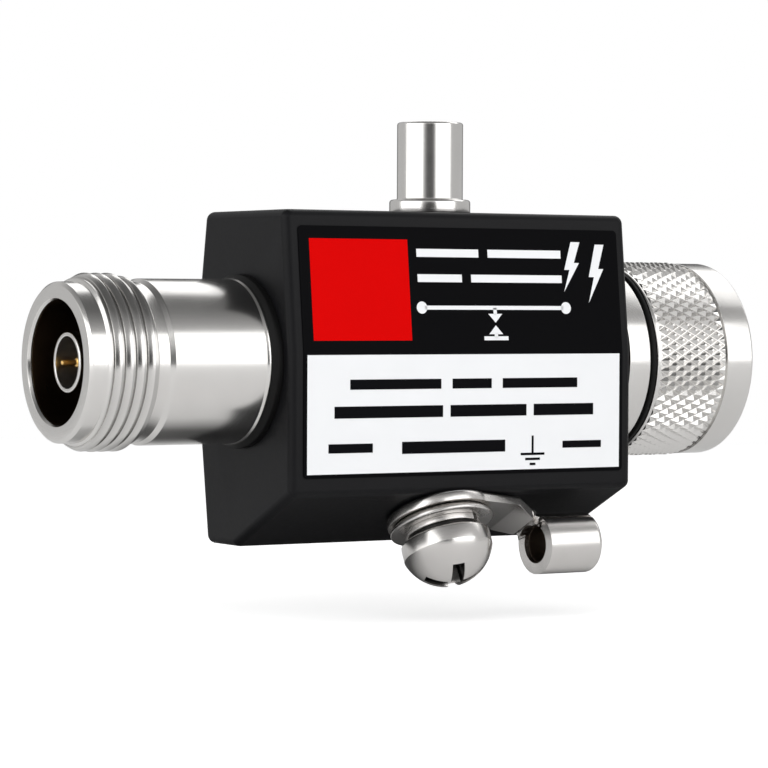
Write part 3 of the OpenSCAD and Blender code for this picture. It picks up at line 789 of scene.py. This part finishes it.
# %% [markdown]
# The plug's shell is turned too. Its contact tube has four slots, so that its fingers can spring, and
# a Boolean cuts them with two thin plates.

# %% Plug shell
def cut_with(piece, tool):
    cutting = piece.modifiers.new("cut", "BOOLEAN")
    cutting.operation = "DIFFERENCE"
    cutting.solver = "EXACT"
    cutting.object = tool
    bake(piece)
    bpy.data.objects.remove(tool)


def cutter(outline, low, high, turn=0):
    work = bmesh.new()
    add_prism(work, *[[(x * mm, y * mm, z * mm) for x, z in outline] for y in (low, high)])
    work.transform(Matrix.Rotation(turn, 4, "X"))
    return piece_from(work, "cutter")


plug_x0, plug_x1 = span("plug_shell")
shoulder_x, rear_x1 = span("nut_rear_seal")
ring_x0, ring_x1 = span("nut_retaining_ring")
seal_x0, seal_x1 = span("plug_seal")
plug_back, plug_seat = span("plug_insulator")
plug_barrel_r = outer_radius("plug_shell")
neck_r, groove_r, contact_r, contact_bore = 6.5, 5.9, mouth_r - 0.15, 4.65
plug_outline = [
    (plug_x0, line_r, 0),
    (plug_x0, shank_r, 0),
    (block_x1, shank_r, 0),
    (block_x1, plug_barrel_r, 0.08),
    (shoulder_x, plug_barrel_r, 0.3),
    (shoulder_x, neck_r, 0),
    (ring_x0, neck_r, 0),
    (ring_x0, groove_r, 0),
    (ring_x1, groove_r, 0),
    (ring_x1, neck_r, 0),
    (seal_x0, neck_r, 0.1),
    (seal_x0, contact_r, 0),
    (plug_x1, contact_r, 0.25),
    (plug_x1, contact_bore, 0.1),
    (plug_seat, contact_bore, 0),
    (plug_seat, line_r, 0),
]
plug = lathe("plug_body", plug_outline)
slot_w, slot_x0, slot_reach = 0.5, seal_x1 + 0.6, 12
slot = bar(slot_x0, slot_x0 + slot_reach, -slot_reach, slot_reach)
for turn in (pi / 4, 3 * pi / 4):
    cut_with(plug, cutter(slot, -slot_w / 2, slot_w / 2, turn))
settle(soften(plug), "body", "nickel", line_nickel, "plug_shell")

# %% [markdown]
# The plug's smaller turned pieces: a white insulator, the gold pin, a silicone seal and the black ring
# that keeps water out behind the nut.

# %% Plug inside
plug_pin_x0, plug_pin_x1 = span("plug_pin")
plug_pin_r = outer_radius("plug_pin")
plug_pin_outline = [
    (plug_pin_x0, 0, 0),
    (plug_pin_x0, plug_pin_r, 0),
    (plug_pin_x1 - 2 * plug_pin_r, plug_pin_r, 0.6),
    (plug_pin_x1, 0.3, 0.15),
    (plug_pin_x1, 0, 0),
]
line_piece("plug_gold_pin", plug_pin_outline, "gold", gold_plate, "plug_pin")

disc_outline = ring_corners(plug_back, plug_seat, plug_pin_r, line_r, (0, 0, 0.08, 0.08))
line_piece("plug_white_insulator", disc_outline, "white_insulator", white_insulator, "plug_insulator")

seal_r = outer_radius("plug_seal")
seal_outline = ring_corners(seal_x0, seal_x1, contact_r, seal_r, (0, 0.3, 0.4, 0.1))
line_piece("plug_silicone_seal", seal_outline, "red_rubber", red_silicone, "plug_seal")

rear_set = 0.15
rear_r = outer_radius("nut_rear_seal") - rear_set
rear_outline = ring_corners(shoulder_x, rear_x1, neck_r, rear_r, (0, 0.15, 0.15, 0))
line_piece("nut_water_ring", rear_outline, "black_rubber", black_rubber, "nut_rear_seal")

# %% [markdown]
# The coupling nut is a turned sleeve with an inner thread and a plain rim. Its blank comes off the
# lathe at the depth of the knurl's grooves.

# %% Nut body
nut_x0, nut_x1 = span("coupling_nut")
knurl_tip_r = outer_radius("coupling_nut")
knurl_depth, rim_len, nut_lip = 0.32, 3.15, 0.25
knurl_low_r, rim_r = knurl_tip_r - knurl_depth, knurl_tip_r - 0.1
rim_x0 = nut_x1 - rim_len
nut_bore_r, nut_hole_r, nut_wall = crest_r + 0.05, neck_r + 0.05, 1.5
nut_outline = [
    (nut_x0, nut_hole_r, 0.05),
    (nut_x0, knurl_low_r - 0.1, 0.1),
    (nut_x0 + 0.12, knurl_low_r, 0),
    (rim_x0 + 0.1, knurl_low_r, 0),
    (rim_x0 + 0.1, rim_r, 0.06),
    (nut_x1, rim_r, 0.25),
    (nut_x1, nut_bore_r + 0.35, 0.08),
    (nut_x1 - 0.4, nut_bore_r, 0),
    (nut_x0 + nut_wall, nut_bore_r, 0),
    (nut_x0 + nut_wall, nut_hole_r, 0),
]
nut_home = (on_line, "nut", "nickel", line_nickel, "coupling_nut")
turned_piece("nut_body", nut_outline, *nut_home)
inner_ridge = coupling_ridge | {"Radius": nut_bore_r, "Length": 5.0, "Height": 0.5, "Root width": 0.85}
inner_x0 = nut_x1 - 5.6
thread_piece("nut_thread", inner_x0, inner_ridge, True, *nut_home)

# %% [markdown]
# The knurl is hundreds of small blunt pyramids. Geometry Nodes lay a grid of points round the nut, keep
# every second one, as on a chessboard, and set one four-sided frustum on each. The last step holds the
# points inside the knurl's length, and the tips a little further in. The end rows are cut in half that
# way and stand lower, as where the tool runs out.

# %% Knurl tree
def knurl_tree():
    lengths = ["Start", "Length", "Low radius", "Depth", "End slant"]
    inputs = {"Geometry": "Geometry", "Material": "Material", "Rows": "Int", "Columns": "Int"}
    tree, given = open_tree("roll_knurl", inputs | {name: "Float" for name in lengths})
    rows, columns = given["Rows"], given["Columns"]
    points = rows.node("GeometryNodeMeshGrid", {}, {0: 1.0, 1: 1.0, 2: rows + 1, 3: columns + 1})
    place = rows.node("GeometryNodeInputIndex")
    row = place.math("FLOOR", (place + 0.5) / (columns + 1))
    column = place - row * (columns + 1)
    odd = place.math("MODULO", row + column, 2.0)
    last = place.math("LESS_THAN", column, columns - 0.5)
    turn = column / columns * (2 * pi)
    x = given["Start"] + row / rows * given["Length"]
    low = given["Low radius"]
    y = low * place.math("SINE", turn) * -1
    z = low * place.math("COSINE", turn)
    spot = place.node("ShaderNodeCombineXYZ", {}, {"X": x, "Y": y, "Z": z})
    moved = place.node("GeometryNodeSetPosition", {}, {"Geometry": points, "Position": spot})
    sockets = {"Vertices": 4, "Radius Top": 0.2, "Radius Bottom": 1.0, "Depth": 1.0}
    pyramid = place.node("GeometryNodeMeshCone", {"fill_type": "NGON"}, sockets)
    from_end = place.math("MINIMUM", row, rows - row)
    height = given["Depth"] * (0.4 + 0.6 * from_end).clamped()
    sockets = {"X": given["Length"] / rows, "Y": 2 * pi * low / columns, "Z": height}
    size = place.node("ShaderNodeCombineXYZ", {}, sockets)
    tilt = place.node("ShaderNodeCombineXYZ", {}, {"X": turn})
    turned = place.node("FunctionNodeEulerToRotation", {}, {0: tilt})
    sockets = {"Points": moved, "Selection": odd * last, "Instance": pyramid}
    sockets |= {"Rotation": turned, "Scale": size}
    teeth = place.node("GeometryNodeInstanceOnPoints", {}, sockets)
    real = place.node("GeometryNodeRealizeInstances", {}, {"Geometry": teeth})
    px, py, pz = place.node("GeometryNodeInputPosition").xyz()
    slant = (((py * py + pz * pz) ** 0.5 - low) / given["Depth"]).clamped() * given["End slant"]
    held = px.clamped(given["Start"] + slant, given["Start"] + given["Length"] - slant)
    spot = place.node("ShaderNodeCombineXYZ", {}, {"X": held, "Y": py, "Z": pz})
    trimmed = place.node("GeometryNodeSetPosition", {}, {"Geometry": real, "Position": spot})
    close_tree(tree, trimmed, given["Material"])
    return tree


# %% [markdown]
# The tree takes its numbers by name. The frustums sink a little into the blank, so that no gap shows.

# %% Knurl
knurl_sunk = 0.03
knurl_values = {
    "Material": line_nickel,
    "Rows": 9,
    "Columns": 120,
    "Start": (nut_x0 + nut_lip) * mm,
    "Length": (rim_x0 - nut_x0 - nut_lip) * mm,
    "Low radius": (knurl_low_r - knurl_sunk) * mm,
    "Depth": (knurl_depth + knurl_sunk) * mm,
    "End slant": 0.3 * mm,
}
knurl = run_tree(new_piece("nut_knurl", bpy.data.meshes.new("nut_knurl")), knurl_tree(), knurl_values)
knurl.data.shade_flat()
settle(knurl, "nut", "nickel", line_nickel, "coupling_nut")

# %% [markdown]
# The cap screws down over the gas tube. It is turned in one piece with its flange and its threaded
# stub, and it is hollow for the tube and the spring.

# %% Cap
cap_bottom, cap_top = [corner.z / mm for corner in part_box("cap")]
cap_r, flange_r, flange_t, cap_bore = 3.05, outer_radius("cap"), 1.25, 2.15
flange_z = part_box("housing")[1].z / mm + 0.08
stub_root, stub_tooth, stub_pitch = 2.68, 0.31, 0.75
ceiling = cap_top - 1.75
cap_outline = [
    (cap_top, 0, 0),
    (cap_top, cap_r, 0.25),
    (flange_z + flange_t, cap_r, 0.12),
    (flange_z + flange_t, flange_r, 0.3),
    (flange_z, flange_r, 0.12),
    (flange_z, 2.95, 0),
    (flange_z - 0.3, stub_root, 0),
    (cap_bottom + 0.2, stub_root, 0),
    (cap_bottom, stub_root - 0.2, 0),
    (cap_bottom, cap_bore, 0.05),
    (ceiling, cap_bore, 0.1),
    (ceiling, 0, 0),
]
cap_home = (on_cap, "screw_cap", "nickel", cap_nickel, "cap")
turned_piece("screw_cap_body", cap_outline, *cap_home)
cap_ridge = {
    "Radius": stub_root,
    "Length": flange_z - cap_bottom - 1.0,
    "Pitch": stub_pitch,
    "Height": stub_tooth,
    "Root width": 0.62,
    "Crest width": 0.22,
    "Edge": 0.04,
}
thread_piece("cap_thread", cap_bottom + 0.4, cap_ridge, False, *cap_home)

# %% [markdown]
# The ground screw has a tall round head: a short straight rim, then a dome cut from a ball, with a
# narrow edge between them.

# %% Ground screw outline
def along_screw(node):
    normal = on_screw.to_3x3().col[0]
    heights = [normal.dot(v.co - on_screw.translation) / mm for v in frame["nodes"][node].data.vertices]
    return min(heights), max(heights)


screw_tip, head_top = along_screw("ground_screw")
spring_low, spring_high = along_screw("spring_washer")
head_r, head_rim, screw_r = 4.1, 1.5, 2.0
head_base = spring_high + 0.08
dome_h = head_top - head_base - head_rim
ball_r = (head_r**2 + dome_h**2) / (2 * dome_h)
ball_x = head_top - ball_r
reach = asin(head_r / ball_r)
dome = [(ball_x + ball_r * cos(reach * k / 24), ball_r * sin(reach * k / 24), 0) for k in range(23, 0, -1)]
screw_pitch, screw_tooth = 0.7, 0.36
screw_root = screw_r - screw_tooth
screw_outline = [
    (screw_tip, 0, 0),
    (screw_tip, screw_root - 0.25, 0.05),
    (screw_tip + 0.25, screw_root, 0),
    (head_base, screw_root, 0),
    (head_base, head_r, 0.25),
    (head_base + head_rim, head_r, 0.15),
    *dome,
    (head_top, 0, 0),
]
print("dome is part of a ball of", round(ball_r, 2), "mm radius")

# %% [markdown]
# Two tapered blades cut the cross recess, shorter and narrower at their lower end. It is darkened with
# painted shade: that is every place in the head which lies under the ball's surface and near the axis.

# %% Ground screw
recess_length, recess_width, recess_depth, recess_r = 6.9, 1.2, 2.1, 3.1


def blade(turn):
    work = bmesh.new()
    bmesh.ops.create_cube(work, size=1)
    for vert in work.verts:
        deep = vert.co.x < 0
        height = head_top - recess_depth if deep else head_top + 0.4
        along = vert.co.y * recess_length * (0.6 if deep else 1.0)
        across = vert.co.z * recess_width * (0.8 if deep else 1.05)
        vert.co = Vector((height, along, across)) * mm
    work.transform(Matrix.Rotation(turn, 4, "X"))
    return piece_from(work, "blade")


# Painted shade in the cross recess: below the ball's surface and near the axis.
def recess_painted_shade(x, radius):
    from_centre = ((x - ball_x) * (x - ball_x) + radius * radius) ** 0.5
    sunk = from_centre.ramp(ball_r - 0.05, ball_r - 0.3)
    in_head = x.ramp(head_base + head_rim, head_base + head_rim + 0.2)
    return sunk * in_head * radius.ramp(recess_r, recess_r - 0.1)


screw_steel = turned_metal("screw_steel", (0.76, 0.74, 0.72), 0.22, on_screw, 0.12, painted_shade=recess_painted_shade)
screw = lathe("ground_screw_body", screw_outline)
recess_turn = radians(20)
for turn in (recess_turn, recess_turn + pi / 2):
    cut_with(screw, blade(turn))
screw.data.transform(on_screw)
screw_home = ("screw", "bright_steel", screw_steel, "ground_screw")
settle(soften(screw, 35), *screw_home)
screw_ridge = {
    "Radius": screw_root,
    "Length": head_base - screw_tip - 0.9,
    "Pitch": screw_pitch,
    "Height": screw_tooth,
    "Root width": 0.62,
    "Crest width": 0.16,
    "Edge": 0.03,
}
thread_piece("screw_thread", screw_tip + 0.4, screw_ridge, False, on_screw, *screw_home)

# %% [markdown]
# Under the head lie a spring washer, which is a ring with one cut, and a flat washer. The spring washer
# is set back just under the head and painted dark there as painted shade, and the flat washer's edge is
# drawn in on the lug's side, as punching leaves it, so a dark line shows at both places.

# %% Washers
def split_ring(name, section, gap, segments=120):
    work = bmesh.new()
    rings = []
    for k in range(segments + 1):
        a = gap / 2 + (2 * pi - gap) * k / segments
        rings.append([work.verts.new((x * mm, r * mm * cos(a), r * mm * sin(a))) for x, r in section])
    skin(work, rings)
    work.faces.new(rings[0])
    work.faces.new(rings[-1])
    return piece_from(work, name)


washer_hole = screw_r + 0.1
spring_r, spring_step, spring_set, spring_cut = 3.5, 0.45, 0.25, 0.5 / 2.8
spring_place = on_screw @ Matrix.Rotation(radians(60), 4, "X")
spring_rings = {
    "split_spring_washer": (spring_low, spring_high - spring_step, spring_r, washer_steel),
    # The neck's near-black steel is painted shade under the head.
    "spring_washer_neck": (spring_high - spring_step, spring_high, spring_r - spring_set, painted_shade_steel),
}
for name, (low, high, outer, material) in spring_rings.items():
    corners = ring_corners(low, high, washer_hole, outer, (0.05, 0.05, 0.1, 0.1))
    spring_ring = split_ring(name, rounded(corners), spring_cut)
    spring_ring.data.transform(spring_place)
    settle(soften(spring_ring), "washers", "steel", material, "spring_washer")

flat_low, flat_high = along_screw("flat_washer")
flat_r, flat_set, flat_drawn = 4.75, 0.45, 0.4
flat_outline = [
    (flat_low, washer_hole, 0.05),
    (flat_low, flat_r - flat_set, 0.1),
    (flat_low + flat_drawn, flat_r, 0.1),
    (flat_high, flat_r, 0.12),
    (flat_high, washer_hole, 0.1),
]
flat_home = (on_screw, "washers", "bright_steel", washer_steel, "flat_washer")
turned_piece("plain_flat_washer", flat_outline, *flat_home)

# %% [markdown]
# The lug is sheet metal, rolled at one end into a wire barrel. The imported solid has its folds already,
# so the work is on its edges. The edge at the block's side is well rounded by the punch, and the
# barrel's open end is drawn in.

# %% Lug edges
def round_edges(piece, place, chosen, rounding):
    back = place.inverted()
    work = bmesh.new()
    work.from_mesh(piece.data)
    edges = [edge for edge in work.edges if all(chosen(back @ vert.co / mm) for vert in edge.verts)]
    bmesh.ops.bevel(work, geom=edges, offset=rounding * mm, segments=4, profile=0.5, affect="EDGES")
    work.to_mesh(piece.data)
    work.free()
    print(piece.name, len(edges), "edges rounded by", rounding, "mm")


lug_low, lug_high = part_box("ground_lug")
wire_r = mounts["ground_wire"]["dims"]["r_mm"]
barrel_tip = (lug_high.x - on_wire.translation.x) / mm
wire_barrel_r = (on_wire.translation.z - lug_low.z) / mm
sheet_back = along_screw("ground_lug")[0]


def at_back(spot):
    return spot.x < sheet_back + 0.02


def at_tip(spot):
    return abs(spot.x - barrel_tip) + abs(spot.yz.length - wire_barrel_r) < 0.04


lug = merged_copy("ground_lug", "crimp_lug")
round_edges(lug, on_screw, at_back, 0.4)
round_edges(lug, on_wire, at_tip, 0.5)

# %% [markdown]
# Where the sheet starts to roll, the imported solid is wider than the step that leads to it. Two wedges
# cut its corners away, so that the step's edges run on into the barrel's mouth.

# %% Lug roll corners
on_roll = placement(on_wire.translation, (1, 0, 0), -on_screw.to_3x3().col[0])
roll_x0, roll_x1 = -barrel_tip - 0.7, -barrel_tip - 0.01
step_s, mouth_s, clear_s = wire_barrel_r / 2, wire_barrel_r * sin(radians(60)), 4
for side in (-1, 1):
    corners = [(roll_x0, step_s), (roll_x1, mouth_s), (roll_x1, clear_s), (roll_x0, clear_s)]
    wedge = cutter([(x, side * s) for x, s in corners], -1, 2.6)
    wedge.data.transform(on_roll)
    cut_with(lug, wedge)
print("roll corners cut at", round(step_s, 2), "to", round(mouth_s, 2), "mm from the middle")

# %% [markdown]
# A narrow seam is left where the rolled sheet meets itself. A small bevel then breaks every edge that is
# still sharp.

# %% Lug seam and edge breaks
seam_w, seam_turn = 0.32, radians(25)
seam = cutter(bar(-3.6, 3.4, wire_r - 0.3, wire_r + 1.7), -seam_w / 2, seam_w / 2, seam_turn)
seam.data.transform(on_wire)
cut_with(lug, seam)
broken_edge = lug.modifiers.new("edge_break", "BEVEL")
broken_edge.width = 0.12 * mm
broken_edge.segments = 2
broken_edge.limit_method = "ANGLE"
broken_edge.angle_limit = radians(40)
bake(lug)
settle(soften(lug), "lug", "tinned_copper", lug_tin, "ground_lug")

# %% [markdown]
# The wire barrel's bore gets a thin lining of its own that begins a little way in, painted dark brown
# as painted shade, as the jack's mouth is.

# %% Lug bore
lining_end, lining_in, lining_out = barrel_tip - 0.5, wire_r - 0.04, wire_r + 0.02
lining_outline = ring_corners(-lining_end, lining_end, lining_in, lining_out, (0.01, 0, 0, 0.01))
turned_piece("lug_bore_wall", lining_outline, on_wire, "lug", "tinned_copper", lug_bore_painted_shade, "ground_lug")

# %% [markdown]
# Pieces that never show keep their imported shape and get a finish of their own.

# %% Hidden pieces
hidden = {
    "centre_conductor": plain_brass,
    "nut_retaining_ring": spring_steel,
    "cap_gasket": black_rubber,
    "cap_spring": spring_steel,
    "gas_tube_ceramic": tube_ceramic,
    "gas_tube_lower_electrode": spring_steel,
    "gas_tube_upper_electrode": spring_steel,
}
for node, material in hidden.items():
    frame["nodes"][node].material_slots[0].material = material
print(len(hidden), "hidden pieces finished")

# %% [markdown]
# The studio is a white floor that runs on into white air. The floor lies low enough for the ground
# screw when it is drawn right out. Under the block its colour is a painted shadow, dark to all but the
# camera, as a floor close under a real block is in shade, because the block's sloped face mirrors it.

# %% Floor
screw_draw = joints["washer_draw"]
floor_z = cad_box[0][2] + screw_draw["range_m"][1] * screw_draw["axis"][2] - 0.2 * mm
centre = Vector([(low + high) / 2 for low, high in zip(*cad_box)])
bpy.ops.mesh.primitive_circle_add(vertices=96, radius=0.4, fill_type="NGON", location=(0, 0, floor_z))
floor = bpy.context.object
floor.name = "studio_floor"


def floor_paint():
    def varying(tree):
        place = object_place(tree)
        cloud = noise(tree, place, 40)
        seen = tree.node("ShaderNodeLightPath", out="Is Camera Ray")
        x, y = [wire / mm for wire in place.xyz()[:2]]
        # A painted shadow: the floor's colour is dark under the block for every ray but the camera's.
        before, behind = y.ramp(2, -8), y.ramp(12, 32)
        left, right = x.ramp(15, 0), x.ramp(62, 77)
        outside_painted_shadow = (seen + before + behind + left + right).clamped()
        return {
            "Base Color": blend_colour(tree, outside_painted_shadow, (0.12, 0.12, 0.12), (0.92, 0.92, 0.92)),
            "Roughness": 0.85 + 0.1 * (cloud - 0.5),
            "Emission Color": blend_colour(tree, seen, (0, 0, 0), (1, 1, 1)),
        }

    return finish("studio_white", {"Emission Strength": 0.55}, varying)


floor.data.materials.append(floor_paint())
print("floor at", round(floor_z / mm, 1), "mm")

# %% [markdown]
# Bright metal shows its surroundings, so large soft boxes decide how it looks: one on each side of the
# camera, with a dark gap where the camera stands, and one high behind the part that is only mirrored.
# Two fills light the paint and the label and aren't mirrored.

# %% Soft boxes
to_camera = Vector((-sin(camera_yaw), -cos(camera_yaw), 0))
to_right = Vector((cos(camera_yaw), -sin(camera_yaw), 0))


def soft_box(name, side, rise, wide, tall, glow, mirrored=True, lighting=True, distance=0.6):
    level = to_camera * cos(radians(side)) + to_right * sin(radians(side))
    way = level * cos(radians(rise)) + Vector((0, 0, sin(radians(rise))))
    box = bpy.data.lights.new(name, "AREA")
    box.shape = "RECTANGLE"
    box.size, box.size_y = (2 * distance * tan(radians(angle) / 2) for angle in (wide, tall))
    box.energy = glow * pi * box.size * box.size_y
    lamp = bpy.data.objects.new(name, box)
    aim = way.to_track_quat("Z", "Y").to_matrix().to_4x4()
    lamp.matrix_world = Matrix.Translation(centre + way * distance) @ aim
    lamp.visible_camera = False
    lamp.visible_glossy = mirrored
    lamp.visible_diffuse = lighting
    bpy.context.scene.collection.objects.link(lamp)


soft_box("right_box", 47, 18, 58, 40, 1.4)
soft_box("left_box", -58, 18, 68, 40, 1.4)
soft_box("back_box", 150, 46, 70, 26, 1.2, lighting=False)
soft_box("front_fill", -10, 35, 50, 30, 2.0, mirrored=False)
soft_box("top_fill", 20, 75, 60, 60, 0.35, mirrored=False)

# %% [markdown]
# The air is white to the camera and a plain grey to everything else. It is darker overhead, round the
# camera and straight behind the part, so that the metal has something to shade against.

# %% Air
air = bpy.data.worlds.new("studio_air")
air.use_nodes = True
bpy.context.scene.world = air
tree = Wire(air.node_tree)
way = tree.node("ShaderNodeTexCoord", out="Generated")
rise = way.xyz()[2]
sockets = {0: way, 1: to_camera}
facing = tree.node("ShaderNodeVectorMath", {"operation": "DOT_PRODUCT"}, sockets, out="Value")


def near(wire, inner, outer):
    return wire.ramp(cos(radians(outer)), cos(radians(inner)))


side_grey, top_loss, camera_loss, back_loss = 0.56, 0.44, 0.93, 0.85
grey = side_grey - top_loss * rise.ramp(0.55, 0.92)
grey = grey * (1 - camera_loss * near(facing, 10, 24)) * (1 - back_loss * near(-1 * facing, 16, 32))
seen = tree.node("ShaderNodeLightPath", out="Is Camera Ray")
background = air.node_tree.nodes["Background"]
strength = seen + (1 - seen) * grey
air.node_tree.links.new(strength.socket, background.inputs["Strength"])
background.inputs["Color"].default_value = (1, 1, 1, 1)
print("air made")
